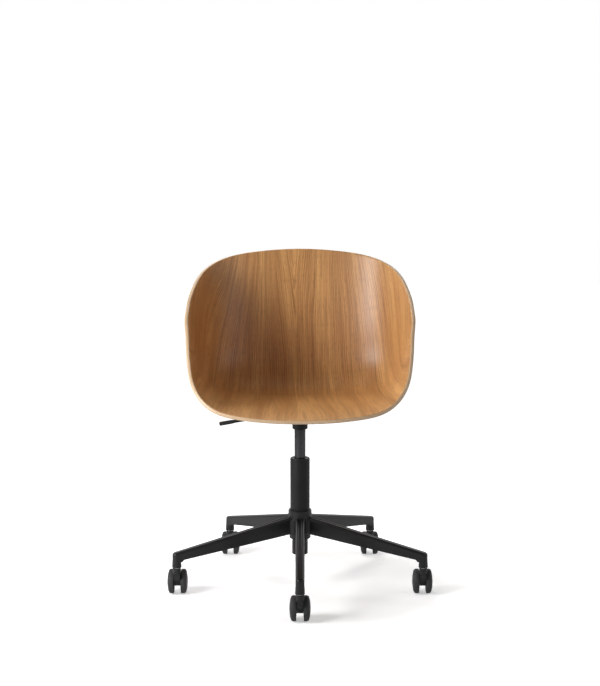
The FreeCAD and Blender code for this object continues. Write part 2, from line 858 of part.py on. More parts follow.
def castor_wheel(side):
    """Domed wheel with its tyre, on one side of the body."""
    face = castor_body_width / 2 + wheel_side_gap
    rim = face + wheel_rim_set_back
    shoulder = face + wheel_tread_width
    crown = shoulder + wheel_dome_height
    bore = axle_radius + running_clearance
    bore_end = face + wheel_bore_depth
    corner = Vector(wheel_radius - wheel_corner_radius, 0, shoulder)
    bulge = wheel_dome_height - wheel_corner_radius
    dome_radius = (corner.x ** 2 + wheel_dome_height ** 2 - wheel_corner_radius ** 2) / (2 * bulge)
    dome = Vector(0, 0, crown - dome_radius)
    joint = math.atan2(corner.x, corner.z - dome.z)
    tread_end = Vector(wheel_radius, 0, shoulder)
    points = [Vector(r, 0, x) for r, x in [
        (0, crown),
        (0, bore_end),
        (bore, bore_end),
        (bore, face),
        (wheel_boss_radius, face),
        (wheel_boss_radius + wheel_rim_set_back, rim),
        (wheel_radius - wheel_tread_edge, rim),
        (wheel_radius, rim + wheel_tread_edge),
    ]] + [tread_end]
    edges = [Part.makeLine(p, q) for p, q in zip(points, points[1:])]
    bend = (math.pi / 2 + joint) / 2
    bend_middle = corner + Vector(math.sin(bend), 0, math.cos(bend)) * wheel_corner_radius
    dome_edge = dome + Vector(math.sin(joint), 0, math.cos(joint)) * dome_radius
    dome_middle = dome + Vector(math.sin(joint / 2), 0, math.cos(joint / 2)) * dome_radius
    edges.append(Part.Arc(tread_end, bend_middle, dome_edge).toShape())
    edges.append(Part.Arc(dome_edge, dome_middle, points[0]).toShape())
    wheel = Part.Face(Part.Wire(edges)).revolve(Vector(0, 0, 0), Z_AXIS, 360)
    wheel.rotate(Vector(0, 0, 0), Y_AXIS, side * 90)
    wheel.translate(Vector(0, castor_trail, wheel_radius))
    return wheel


def castor_stem():
    """Steel stem: pin in the castor body, collar, and shank in the arm's post."""
    return revolve([
        (0, stem_pin_bottom),
        (stem_pin_radius, stem_pin_bottom),
        (stem_pin_radius, stem_collar_bottom),
        (stem_collar_radius, stem_collar_bottom),
        (stem_collar_radius, post_bottom),
        (stem_radius, post_bottom),
        (stem_radius, grip_ring_bottom),
        (stem_radius - grip_ring_depth, grip_ring_bottom),
        (stem_radius - grip_ring_depth, grip_ring_bottom + grip_ring_height),
        (stem_radius, grip_ring_bottom + grip_ring_height),
        (stem_radius, stem_top - stem_edge),
        (stem_radius - stem_edge, stem_top),
        (0, stem_top),
    ])


def grip_ring():
    """Split ring in the stem's groove."""
    bottom = grip_ring_bottom
    top = grip_ring_bottom + grip_ring_height
    inner = stem_radius - grip_ring_depth + running_clearance
    band = ring(inner, stem_radius, bottom, top)
    return band.cut(box(0, stem_radius, -grip_ring_slot / 2, grip_ring_slot / 2, bottom, top))


def build():
    """Make every piece and write it."""
    os.makedirs("parts", exist_ok=True)
    save("star_base", star_base())
    save("standpipe", standpipe())
    save("guide_bush", guide_bush())
    washer_top = bearing_base + bearing_washer
    save("bearing_lower_washer", ring(bearing_inner_radius, bearing_radius, bearing_base, washer_top))
    save("thrust_bearing", ring(bearing_inner_radius, bearing_radius, washer_top, upper_washer_bottom))
    save("bearing_upper_washer", ring(
        rod_neck_radius + running_clearance, bearing_radius, upper_washer_bottom, rod_shoulder
    ))
    save("rubber_buffer", ring(
        rod_radius + running_clearance, buffer_radius, rod_shoulder, rod_shoulder + buffer_height
    ))
    save("piston_rod", piston_rod())
    save("piston_head", ring(
        rod_neck_radius + running_clearance,
        cylinder_bore_radius - running_clearance,
        piston_bottom,
        piston_bottom + piston_height,
    ))
    save("foot_washer", foot_washer())
    save("foot_clip", foot_clip())
    save("gas_cylinder", gas_cylinder())
    save("rod_seal", rod_seal())
    save("release_pin", release_pin())
    save("seat_mechanism", seat_mechanism())
    save("lever_pivot_pin", lever_pivot_pin())
    save("lever", lever())
    save("lever_grip", lever_grip())
    shell, inserts, pads, screws = seat_fixings(shell_blank())
    save("seat_shell", shell)
    save("threaded_inserts", inserts)
    save("spacer_pads", pads)
    save("seat_screws", screws)
    stems = [moved(castor_stem(), x, y, 0) for x, y in castor_places()]
    save("castor_stems", Part.makeCompound(stems))
    rings = [moved(grip_ring(), x, y, 0) for x, y in castor_places()]
    save("stem_grip_rings", Part.makeCompound(rings))
    pieces = {
        "castor_body": castor_body(),
        "castor_axle": castor_axle(),
        "castor_wheel_left": castor_wheel(-1),
        "castor_wheel_right": castor_wheel(1),
    }
    for number, (x, y) in enumerate(castor_places(), start=1):
        for name, shape in pieces.items():
            save(name + "_" + str(number), moved(shape, x, y, 0))


build()
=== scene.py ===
# %% [markdown]
# # A veneered bucket chair on castors
#
# The chair has two halves that could not look more different: one thin sheet of
# plywood, pressed into a bucket and faced with a warm, straight-grained veneer,
# and a black metal star on castors that carries it. The engineering model gives
# every piece its place and size, so this lesson starts by loading it, and then
# makes the visible surfaces on top of it. Each new surface takes its sizes from
# the piece that it stands for. Only the finishes, the light and the softness of
# a few edges are matched to the picture.

# %% Load the frame
import json
import math

import bmesh
import bpy
import numpy as np
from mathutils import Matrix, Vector


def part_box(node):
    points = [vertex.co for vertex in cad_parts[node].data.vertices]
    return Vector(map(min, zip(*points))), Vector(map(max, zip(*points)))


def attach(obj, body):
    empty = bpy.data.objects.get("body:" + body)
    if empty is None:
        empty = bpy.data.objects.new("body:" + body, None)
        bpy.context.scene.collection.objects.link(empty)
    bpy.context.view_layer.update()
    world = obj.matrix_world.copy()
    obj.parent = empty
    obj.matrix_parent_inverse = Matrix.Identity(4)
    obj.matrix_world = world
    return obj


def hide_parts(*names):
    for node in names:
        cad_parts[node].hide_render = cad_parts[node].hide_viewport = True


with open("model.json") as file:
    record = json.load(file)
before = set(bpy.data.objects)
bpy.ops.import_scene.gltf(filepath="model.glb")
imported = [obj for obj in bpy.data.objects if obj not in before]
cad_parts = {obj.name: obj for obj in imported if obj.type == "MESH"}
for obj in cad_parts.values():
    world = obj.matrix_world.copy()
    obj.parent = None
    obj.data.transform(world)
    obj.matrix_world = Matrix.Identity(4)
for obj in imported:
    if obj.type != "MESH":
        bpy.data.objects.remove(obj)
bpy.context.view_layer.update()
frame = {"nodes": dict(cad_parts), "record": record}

nodes = frame["nodes"]
record = frame["record"]
body_of = {node: body for body, members in record["behaviour"]["bodies"].items() for node in members}
slot_of = {part["node"]: part["material_slot"] for part in record["subparts"]}

# %% [markdown]
# ## Surfaces from grids
#
# A smooth product surface can be sculpted, cut from primitives, or worked out.
# Here every surface is worked out: a shape is a function of two parameters,
# sampled on a grid, and neighbouring samples become the corners of one face. The
# shape then stays exact wherever the grid is dense enough, and a change of one
# number changes the whole piece. A row may close on itself, as around a wheel,
# and a row whose samples all fall on one point becomes a pole, which is merged.

# %% Make an object from a grid of points
MERGE_DISTANCE = 1e-7


def grid_faces(rows, columns, closed):
    """Corner numbers of each quad: (r, c), (r, c+1), (r+1, c+1), (r+1, c), where a closed row wraps round."""
    spans = columns if closed else columns - 1
    r, c = np.meshgrid(np.arange(rows - 1), np.arange(spans), indexing="ij")
    right = (c + 1) % columns
    here, below = r * columns, (r + 1) * columns
    return np.stack([here + c, here + right, below + right, below + c], -1).reshape(-1, 4)


def grid_piece(name, points, closed=True, sheet=None, depth=None):
    """Object whose mesh joins the grid's points, with a UV map of flat places and a depth where given."""
    rows, columns = points.shape[:2]
    faces = grid_faces(rows, columns, closed)
    mesh = bpy.data.meshes.new(name)
    mesh.vertices.add(rows * columns)
    mesh.vertices.foreach_set("co", points.reshape(-1).astype(np.float32))
    mesh.loops.add(faces.size)
    mesh.loops.foreach_set("vertex_index", faces.reshape(-1))
    mesh.polygons.add(len(faces))
    mesh.polygons.foreach_set("loop_start", np.arange(len(faces)) * 4)
    if sheet is not None:
        layer = mesh.uv_layers.new(name="sheet")
        layer.uv.foreach_set("vector", sheet.reshape(-1, 2)[faces.reshape(-1)].reshape(-1).astype(np.float32))
    if depth is not None:
        layer = mesh.attributes.new("depth", "FLOAT", "POINT")
        layer.data.foreach_set("value", depth.reshape(-1).astype(np.float32))
    mesh.update(calc_edges=True)
    solid = bmesh.new()
    solid.from_mesh(mesh)
    bmesh.ops.remove_doubles(solid, verts=solid.verts, dist=MERGE_DISTANCE)
    bmesh.ops.recalc_face_normals(solid, faces=solid.faces)
    solid.to_mesh(mesh)
    solid.free()
    mesh.shade_smooth()
    piece = bpy.data.objects.new(name, mesh)
    bpy.context.scene.collection.objects.link(piece)
    return piece


print("a closed grid of 3 rows and 4 columns has", len(grid_faces(3, 4, True)), "faces")

# %% Give a piece its finish, its body and what it stands for
def dress(piece, body, slot, finish, *stands_for):
    """Gives a piece its finish, the body it rides on, and the engineering pieces it stands for."""
    piece.data.materials.clear()
    piece.data.materials.append(finish)
    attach(piece, body)
    if stands_for:
        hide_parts(*stands_for)
    print(piece.name, "rides on", body, "with", len(piece.data.polygons), "faces")
    return piece

# %% [markdown]
# ## A small kit for finishes
#
# A finish is a graph of nodes: a place on the surface goes in, and colour,
# roughness and relief come out. Writing each link by hand hides the recipe, so
# a few helpers make the nodes that every finish needs. Values that are the same
# all over a surface are set on the shader itself, and only what varies from
# place to place is linked.

# %% Helpers that build a finish
class Finish:
    """A node material under construction."""

    def __init__(self, name, colour, roughness, **constants):
        self.material = bpy.data.materials.new(name)
        self.material.use_nodes = True
        self.tree = self.material.node_tree
        self.shader = self.tree.nodes["Principled BSDF"]
        self.place = self.tree.nodes.new("ShaderNodeTexCoord").outputs["Object"]
        self.shader.inputs["Base Color"].default_value = (*colour, 1.0)
        self.shader.inputs["Roughness"].default_value = roughness
        for socket, value in constants.items():
            self.shader.inputs[socket.replace("_", " ")].default_value = value

    def node(self, kind, inputs=(), output=0, **settings):
        """New node; inputs pairs a socket's number or name with a value or another node's output."""
        made = self.tree.nodes.new("ShaderNode" + kind)
        for name, value in settings.items():
            setattr(made, name, value)
        for socket, value in inputs:
            if isinstance(value, bpy.types.NodeSocket):
                self.tree.links.new(value, made.inputs[socket])
            else:
                made.inputs[socket].default_value = value
        return made.outputs[output]

    def stretched(self, vector, scale):
        """The place multiplied by a scale along each axis."""
        return self.node("Mapping", [("Vector", vector), ("Scale", scale)])

    def noise(self, vector, scale=1.0, detail=2.0, roughness=0.5):
        """Soft random value round 0.5."""
        return self.node("TexNoise", [
            ("Vector", vector), ("Scale", scale), ("Detail", detail), ("Roughness", roughness),
        ])

    def maths(self, operation, *values):
        """One arithmetic step."""
        return self.node("Math", list(enumerate(values)), operation=operation)

    def spread(self, value, low, high, start=0.0, end=1.0):
        """Value carried from the span low..high to start..end, held at both ends."""
        return self.node("MapRange", [(0, value), (1, low), (2, high), (3, start), (4, end)])

    def blend(self, share, first, second):
        """Mix of two colours: the first, less its share, plus that share of the second."""
        sockets = [(0, share)]
        for number, colour in ((6, first), (7, second)):
            sockets.append((number, colour if isinstance(colour, bpy.types.NodeSocket) else (*colour, 1.0)))
        return self.node("Mix", sockets, output=2, data_type="RGBA")

    def colour(self, output):
        """Send a colour to the shader."""
        self.tree.links.new(output, self.shader.inputs["Base Color"])

    def roughness(self, output):
        """Send a roughness to the shader."""
        self.tree.links.new(output, self.shader.inputs["Roughness"])

    def relief(self, height, depth):
        """Send a height map to the shader as bumps of that depth in metres."""
        bump = self.node("Bump", [("Height", height), ("Distance", depth)])
        self.tree.links.new(bump, self.shader.inputs["Normal"])


print("helpers", [name for name in vars(Finish) if not name.startswith("_")])

# %% [markdown]
# ## Black finishes
#
# Three blacks meet on this chair, and they part mostly by their sheen. The cast
# star has a thick satin powder coat, whose skin is very slightly dimpled. The
# column is a matt coat, finer and duller. The castors and the lever's grip are
# moulded nylon with a fine spark-eroded texture, a touch greyer, and the wheels
# run on a softer tread that is greyer still. A flat dark colour would do from
# afar, but up close it looks like a hole in the picture. So each is one small
# graph: fine grain as relief, and a slow cloud that shifts the colour and the
# roughness, because no real coat is perfectly even.

# %% Powder coats and moulded nylon
CLOUD_SCALE = 16.0
UNEVENNESS = 0.10
FINE_GRAIN, SOFT_GRAIN = 0.00003, 0.00005


def coated(name, colour, worn_colour, roughness, grain_scale, grain_depth, shine=0.25):
    """Dark coat: clouds 60 mm across blend two greys, and grain of the given scale is its relief."""
    coat = Finish(name, colour, roughness, Specular_IOR_Level=shine)
    cloud = coat.noise(coat.place, scale=CLOUD_SCALE, detail=3.0)
    grain = coat.noise(coat.place, scale=grain_scale, detail=2.0, roughness=0.6)
    coat.colour(coat.blend(coat.spread(cloud, 0.35, 0.7), colour, worn_colour))
    uneven = coat.maths(
        "ADD", coat.maths("MULTIPLY", cloud, UNEVENNESS), coat.maths("MULTIPLY", grain, UNEVENNESS),
    )
    coat.roughness(coat.maths("ADD", uneven, roughness - UNEVENNESS))
    coat.relief(grain, grain_depth)
    return coat.material


satin_black = coated(
    "satin_black_coat", (0.009, 0.009, 0.010), (0.014, 0.014, 0.015), 0.33, 900.0, FINE_GRAIN, shine=0.34,
)
matt_black = coated(
    "matt_black_coat", (0.008, 0.008, 0.009), (0.013, 0.013, 0.014), 0.44, 1400.0, FINE_GRAIN,
)
nylon_black = coated(
    "moulded_black_nylon", (0.019, 0.019, 0.020), (0.028, 0.028, 0.029), 0.42, 2200.0, FINE_GRAIN,
)
tyre_grey = coated(
    "soft_grey_tread", (0.043, 0.043, 0.044), (0.056, 0.056, 0.057), 0.58, 1800.0, SOFT_GRAIN,
)
rubber_black = coated(
    "black_rubber", (0.010, 0.010, 0.010), (0.016, 0.016, 0.016), 0.70, 700.0, SOFT_GRAIN,
)
print("blacks", [coat.name for coat in (satin_black, matt_black, nylon_black, tyre_grey, rubber_black)])

# %% [markdown]
# ## Bare and plated metal
#
# Metal turned on a lathe keeps fine rings from the tool, and drawn tube keeps
# fine lines along its length. Rings could be cut into the mesh, but they are
# thinner than a hair, so both are the same graph with noise squeezed along a
# different axis. The gas lift's moving tube is dark plated steel, so it takes
# a dark metal colour and low roughness, while the hidden shafts and washers are
# plain bright steel.

# %% Turned steel, plated tube, alloy and brass
MARK_ROUGHNESS = 0.16
MARK_DEPTH = 0.000004


def turned_metal(name, colour, dull_colour, roughness, squeeze):
    """Metal whose tool marks are noise packed tightly along the axes where squeeze is large."""
    metal = Finish(name, colour, roughness, Metallic=1.0)
    marks = metal.noise(metal.stretched(metal.place, squeeze), detail=3.0, roughness=0.6)
    cloud = metal.noise(metal.place, scale=20.0, detail=3.0)
    metal.colour(metal.blend(metal.spread(cloud, 0.3, 0.75), colour, dull_colour))
    uneven = metal.maths("MULTIPLY", marks, MARK_ROUGHNESS)
    metal.roughness(metal.maths("ADD", uneven, roughness - MARK_ROUGHNESS / 2))
    metal.relief(marks, MARK_DEPTH)
    return metal.material


steel = turned_metal("turned_steel", (0.55, 0.55, 0.57), (0.42, 0.42, 0.44), 0.30, (40.0, 40.0, 2600.0))
alloy = turned_metal("turned_alloy", (0.70, 0.70, 0.72), (0.58, 0.58, 0.60), 0.34, (60.0, 60.0, 2000.0))
plated = turned_metal(
    "dark_plated_tube", (0.078, 0.078, 0.081), (0.042, 0.042, 0.044), 0.28, (700.0, 700.0, 30.0),
)
brass = turned_metal("turned_brass", (0.72, 0.53, 0.24), (0.60, 0.42, 0.18), 0.30, (60.0, 60.0, 2200.0))
print("metals", [metal.name for metal in (steel, alloy, plated, brass)])

# %% Finish for each material of the record
slot_finish = {
    "black_alloy": satin_black,
    "black_steel": matt_black,
    "black_plastic": nylon_black,
    "steel": steel,
    "alloy": alloy,
    "rubber": rubber_black,
    "dark_chrome": plated,
    "brass": brass,
    "tyre": tyre_grey,
}
print("finishes", sorted(slot_finish))

# %% [markdown]
# ## The veneer
#
# A veneer leaf is a slice through a log, so its figure is the log's growth rings
# cut at a slant. Each ring is the set of places at one distance from the heart,
# and where the trunk swells or thins that distance drifts along the leaf: the
# lines far from the middle run straight, and those near it close into the nested
# arches that joiners call cathedrals. On this leaf they open upwards on the back
# and forwards on the seat. A photograph of veneer would repeat one leaf for ever,
# and plain noise would lack the arches, so the rings are computed. Each one
# darkens slowly and ends sharply, and a few are darker than the rest. In the
# formula u is the distance across the leaf and b the place along it. The pattern
# uses the flat sheet's coordinates, so it bends as the real leaf did.

# %% Where the growth rings lie
LEAF_MIDDLE, LEAF_LEAN = 0.0064, -0.030
SLOW_WANDER, QUICK_WANDER = 0.010, 0.0026
HEART_WIDTH = 0.004
SLIM_PLACE, SEAT_BOW, BACK_BOW = 0.45, 0.07, 0.17
CROWD_START, CROWD_LEFT, CROWD_RIGHT = 0.43, 1.10, 0.47


def wander(leaf, flat, squeeze, reach):
    """Drift of the grain sideways: soft noise, squeezed across the leaf, carried to -reach..reach."""
    return leaf.spread(leaf.noise(leaf.stretched(flat, squeeze)), 0.0, 1.0, -reach, reach)


def ring_place(leaf, flat):
    """Signed distance from the heart: side x (sqrt(u² + w²) - bow (b - slim)² + crowd (b - start)²)."""
    parts = leaf.tree.nodes.new("ShaderNodeSeparateXYZ")
    leaf.tree.links.new(flat, parts.inputs[0])
    along = parts.outputs[1]
    slow = wander(leaf, flat, (6.0, 2.2, 1.0), SLOW_WANDER)
    quick = wander(leaf, flat, (46.0, 9.0, 1.0), QUICK_WANDER)
    middle = leaf.maths("MULTIPLY_ADD", along, LEAF_LEAN, LEAF_MIDDLE)
    off_middle = leaf.maths("SUBTRACT", parts.outputs[0], middle)
    across = leaf.maths("ADD", off_middle, leaf.maths("ADD", slow, quick))
    reach = leaf.maths("ABSOLUTE", across)
    heart = leaf.maths("SQRT", leaf.maths("MULTIPLY_ADD", across, across, HEART_WIDTH ** 2))
    past_slim = leaf.maths("SUBTRACT", along, SLIM_PLACE)
    bend = leaf.spread(past_slim, -0.1, 0.1, SEAT_BOW, BACK_BOW)
    bow = leaf.maths("MULTIPLY", leaf.maths("MULTIPLY", past_slim, past_slim), bend)
    past_start = leaf.maths("MAXIMUM", leaf.maths("SUBTRACT", along, CROWD_START), 0.0)
    squared = leaf.maths("MULTIPLY", past_start, past_start)
    crowd = leaf.maths("MULTIPLY", squared, leaf.spread(reach, 0.05, 0.20))
    crowd = leaf.maths("MULTIPLY", crowd, leaf.spread(across, -0.1, 0.1, CROWD_LEFT, CROWD_RIGHT))
    distance = leaf.maths("ADD", leaf.maths("SUBTRACT", heart, bow), crowd)
    return leaf.maths("MULTIPLY", distance, leaf.maths("SIGN", across)), distance, along


print("the heart lies", LEAF_MIDDLE, "m beside the blank's middle")

# %% How dark each growth ring is
RINGS_PER_METRE = 190.0
FAINTEST_RING, SEAT_RINGS = 0.30, 0.30


def late_wood_share(leaf, signed, distance, along, joined):
    """Darkness of a ring: slow rise and quick fall across it, times chance, patches and less on the seat."""
    rings = leaf.maths("MULTIPLY", distance, RINGS_PER_METRE)
    within = leaf.maths("FRACT", rings)
    number = leaf.node("CombineXYZ", [(0, leaf.maths("FLOOR", rings)), (1, leaf.maths("SIGN", signed))])
    chance = leaf.node("TexWhiteNoise", [("Vector", number)], noise_dimensions="3D")
    rise, fall = leaf.spread(within, 0.15, 0.85), leaf.spread(within, 0.92, 1.0, 1.0, 0.0)
    patches = leaf.spread(leaf.noise(leaf.stretched(joined, (60.0, 7.0, 1.0))), 0.3, 0.7, 0.35, 1.0)
    fade = leaf.maths("MULTIPLY", patches, leaf.spread(along, 0.30, 0.46, SEAT_RINGS, 1.0))
    depth = leaf.maths("MULTIPLY", leaf.spread(chance, 0.0, 1.0, FAINTEST_RING, 1.0), fade)
    return leaf.maths("MULTIPLY", leaf.maths("MULTIPLY", rise, fall), depth)


print("one ring is", round(1000 / RINGS_PER_METRE, 2), "mm wide")

# %% A few rings that are darker than the rest
DARK_LINE = (0.085, 0.034, 0.012)
DARK_RINGS = ((0.0437, 0.0018, 1.0), (-0.2216, 0.0016, 0.45), (0.2105, 0.0018, 0.9))


def with_dark_rings(leaf, signed, joined, colour):
    """Colour darkened near each (place, half width, depth): depth falls to nothing at the half width."""
    patches = leaf.noise(leaf.stretched(joined, (8.0, 9.0, 1.0)))
    patch = leaf.spread(patches, 0.35, 0.62, 0.15, 0.85)
    for place, half_width, depth in DARK_RINGS:
        away = leaf.maths("ABSOLUTE", leaf.maths("SUBTRACT", signed, place))
        near = leaf.spread(away, 0.0, half_width, depth, 0.0)
        colour = leaf.blend(leaf.maths("MULTIPLY", near, patch), colour, DARK_LINE)
    return colour


print("dark rings", [ring[0] for ring in DARK_RINGS], "m from the heart")

# %% [markdown]
# ## The plywood's edge
#
# The rim of the shell shows the plies that the press glued together: long-grain
# plies look pale and even, and the cross plies between them show end grain, a
# little darker. The mesh carries each point's depth through the thickness as an
# attribute, so the plies are bands of that depth, and they follow the rim round
# every curve with no seam. The lacquered face wraps a little over the eased edge.

# %% Plies on the rim
PLY_COUNT = 7.0
PALE_PLY = (0.740, 0.525, 0.325)
CROSS_PLY = (0.520, 0.335, 0.195)


def cut_edge(finish, flat, face_colour):
    """Face colour, with bands of plies wherever the depth attribute lies between the two faces."""
    depth = finish.node("Attribute", output=2, attribute_name="depth")
    band = finish.maths("MULTIPLY", depth, PLY_COUNT)
    cross = finish.spread(finish.maths("PINGPONG", band, 1.0), 0.42, 0.58)
    fibre = finish.noise(finish.stretched(flat, (260.0, 260.0, 1.0)), detail=3.0)
    share = finish.maths("MULTIPLY", cross, finish.spread(fibre, 0.3, 0.7, 0.45, 0.85))
    ply = finish.blend(share, PALE_PLY, CROSS_PLY)
    inner = finish.spread(depth, 0.07, 0.10)
    outer = finish.spread(depth, 0.94, 0.97, 1.0, 0.0)
    return finish.blend(finish.maths("MULTIPLY", inner, outer), face_colour, ply)


print("plies", int(PLY_COUNT))

# %% [markdown]
# ## The leaf, put together
#
# Joiners finish such a seat with a satin lacquer: it fills the wood's surface and
# adds a soft shine of its own. One glossy layer would make the wood look wet, so
# the lacquer is the shader's coat, rough enough to spread a lamp into a broad
# sheen, over wood that hardly shines. From broad to fine, the colour is mixed
# from bands of two tones, rings, streaks, fibres and pores, and the pores are
# also the only relief.

# %% Veneer with its bands, rings, streaks, fibres and pores
HONEY = (0.840, 0.464, 0.172)
TOFFEE = (0.570, 0.271, 0.090)
LATE_WOOD = (0.300, 0.125, 0.036)
LACQUER = {"Coat_Weight": 1.0, "Coat_Roughness": 0.42, "Specular_IOR_Level": 0.20}
STREAK_SHARE, FIBRE_SHARE, PORE_SHARE = 0.46, 0.52, 0.40
PORE_ROUGHNESS, PORE_DEPTH = 0.15, 0.00004


def make_veneer():
    """Veneer over the flat sheet's coordinates: each layer of the figure darkens the one before it."""
    leaf = Finish("satin_veneer", HONEY, 0.5, **LACQUER)
    flat = leaf.node("UVMap", uv_map="sheet")
    signed, distance, along = ring_place(leaf, flat)
    joined = leaf.node("CombineXYZ", [(0, signed), (1, along)])
    bands = leaf.noise(leaf.stretched(joined, (26.0, 1.3, 1.0)), detail=3.0)
    streaks = leaf.noise(leaf.stretched(joined, (85.0, 2.0, 1.0)), roughness=0.6)
    fibre = leaf.noise(leaf.stretched(joined, (360.0, 9.0, 1.0)), roughness=0.6)
    pore = leaf.spread(leaf.noise(leaf.stretched(joined, (900.0, 60.0, 1.0)), roughness=0.55), 0.55, 0.70)
    colour = leaf.blend(leaf.spread(bands, 0.34, 0.66), HONEY, TOFFEE)
    colour = leaf.blend(late_wood_share(leaf, signed, distance, along, joined), colour, LATE_WOOD)
    colour = leaf.blend(leaf.spread(streaks, 0.47, 0.70, 0.0, STREAK_SHARE), colour, LATE_WOOD)
    colour = leaf.blend(leaf.spread(fibre, 0.46, 0.70, 0.0, FIBRE_SHARE), colour, LATE_WOOD)
    colour = leaf.blend(leaf.maths("MULTIPLY", pore, PORE_SHARE), colour, DARK_LINE)
    leaf.colour(cut_edge(leaf, flat, with_dark_rings(leaf, signed, joined, colour)))
    rough = leaf.spread(bands, 0.3, 0.7, 0.44, 0.54)
    leaf.roughness(leaf.maths("ADD", leaf.maths("MULTIPLY", pore, PORE_ROUGHNESS), rough))
    leaf.relief(leaf.maths("SUBTRACT", 1.0, pore), PORE_DEPTH)
    return leaf.material


veneer = make_veneer()
slot_finish["veneer"] = veneer
print("veneer nodes", len(veneer.node_tree.nodes))

# %% [markdown]
# ## The shell's form
#
# The press bends one flat blank. Its middle line runs from the front lip along
# the seat and up the back, and at each place along it the sheet leaves that line
# in a section of its own: nearly flat across the seat, then a wall that rises at
# the side. The sections fan out, so that they stand upright at the lip and lean
# back at the top. A point of the blank, across and along, therefore lands on
# the middle line's point plus a walk along its section, whose direction is
# angle(s) = s / radius + wall x ease((s - start) / (end - start)). These are the
# numbers of the engineering model, in metres and degrees.

# %% Sizes of the blank and of the form under it
THICKNESS = 0.010
SHEET_LENGTH = 0.805
SHEET_HALF_WIDTH = 0.485
SHEET_CENTRE = 0.425
OUTLINE_SHARES = (
    0.881, 0.906, 0.926, 0.895, 0.920, 0.959, 1.065,
    0.934, 0.875, 0.852, 0.834, 0.783, 0.770,
)
LIP_REACH, LIP_HEIGHT, LIP_RUN = 0.2537, 0.4776, 0.110
LIP_ANGLE, SEAT_ANGLE, BACK_ANGLE = 6.3, -1.65, 78.15
FOLD_START, FOLD_END, FOLD_BLEND = 0.326, 0.544, 0.060
SEAT_CROSS_RADIUS, BACK_CROSS_RADIUS = 1.815, 0.623
SEAT_WALL, BACK_WALL = (0.1528, 0.3192), (0.1126, 0.3418)
LIP_WALL_ANGLE, LIP_WALL_RUN = 65.6, 0.260
SEAT_WALL_ANGLE, BACK_WALL_ANGLE = 71.6, 47.2
FAN_ANGLE = 83.1
print("plywood", THICKNESS, "m thick, bent by", BACK_ANGLE - SEAT_ANGLE, "degrees from seat to back")

# %% The middle line, from the lip up the back
SPINE_STEPS = 800


def ease(t):
    """Smooth step: t² (3 - 2 t), held at 0 and 1."""
    t = np.clip(t, 0.0, 1.0)
    return t * t * (3 - 2 * t)


def mix(start, end, share):
    """Value between two others: start plus that share of the way to the end."""
    return start + (end - start) * share


def spine(along):
    """Depth and height of the middle line: the running sum of (cos, sin) of its angle from the lip."""
    longest = np.abs(along).max()
    b = (np.arange(-SPINE_STEPS, SPINE_STEPS) + 0.5) * longest / SPINE_STEPS
    angle = mix(LIP_ANGLE, SEAT_ANGLE, ease(b / LIP_RUN))
    angle = np.radians(angle + (BACK_ANGLE - SEAT_ANGLE) * ease((b - FOLD_START) / (FOLD_END - FOLD_START)))
    step = longest / SPINE_STEPS
    places = np.arange(-SPINE_STEPS, SPINE_STEPS + 1) * step
    y = np.concatenate([[0.0], np.cumsum(np.cos(angle) * step)])
    z = np.concatenate([[0.0], np.cumsum(np.sin(angle) * step)])
    middle = SPINE_STEPS
    return (
        np.interp(along, places, y - y[middle]) - LIP_REACH,
        np.interp(along, places, z - z[middle]) + LIP_HEIGHT,
    )


end_depth, end_height = spine(np.full(1, SHEET_LENGTH))
print("the middle line ends at depth and height", end_depth.round(4), end_height.round(4))

# %% The form under every place of the blank
SECTION_STEPS = 80
SLOPE_REACH = 0.0004


def form(across, along):
    """Point of the inner face under a place on the blank: the middle line plus a walk along the section."""
    y, z = spine(along)
    back = ease((along - FOLD_START + FOLD_BLEND) / (FOLD_END - FOLD_START + 2 * FOLD_BLEND))
    start = mix(SEAT_WALL[0], BACK_WALL[0], back)
    end = mix(SEAT_WALL[1], BACK_WALL[1], back)
    bend = mix(1 / SEAT_CROSS_RADIUS, 1 / BACK_CROSS_RADIUS, back)
    wall = mix(mix(LIP_WALL_ANGLE, SEAT_WALL_ANGLE, ease(along / LIP_WALL_RUN)), BACK_WALL_ANGLE, back)
    fan = np.radians(FAN_ANGLE * along / SHEET_LENGTH)
    reach = np.abs(across)
    out = np.zeros_like(across)
    rise = np.zeros_like(across)
    for index in range(SECTION_STEPS):
        s = (index + 0.5) * reach / SECTION_STEPS
        angle = bend * s + np.radians(wall) * ease((s - start) / (end - start))
        out += np.cos(angle) * reach / SECTION_STEPS
        rise += np.sin(angle) * reach / SECTION_STEPS
    return np.stack([np.sign(across) * out, y - rise * np.sin(fan), z + rise * np.cos(fan)], -1)


def form_normal(across, along):
    """Unit normal of the form: the cross product of the slopes across and along, into the seat."""
    slope_across = form(across + SLOPE_REACH, along) - form(across - SLOPE_REACH, along)
    slope_along = form(across, along + SLOPE_REACH) - form(across, along - SLOPE_REACH)
    normal = np.cross(slope_across, slope_along)
    return normal / np.linalg.norm(normal, axis=-1, keepdims=True)


wing = form(np.full(1, SHEET_HALF_WIDTH), np.full(1, SHEET_CENTRE))[0]
print("the side of the blank lands at", [round(float(v), 4) for v in wing])

# %% [markdown]
# ## The shell
#
# The blank's outline is a closed even cubic spline through control points that
# stand every fifteen degrees round its centre. The shell is then one closed
# surface that starts at the middle of the inner face, runs out to the rim, rolls
# over the sanded edge, crosses the plies, rolls again and returns along the outer
# face. Each sample is a place on the blank and a depth below the inner face, so
# a Solidify modifier isn't needed and the sanded edge has its exact radius.

# %% The blank's outline
RIM_SAMPLES = 336


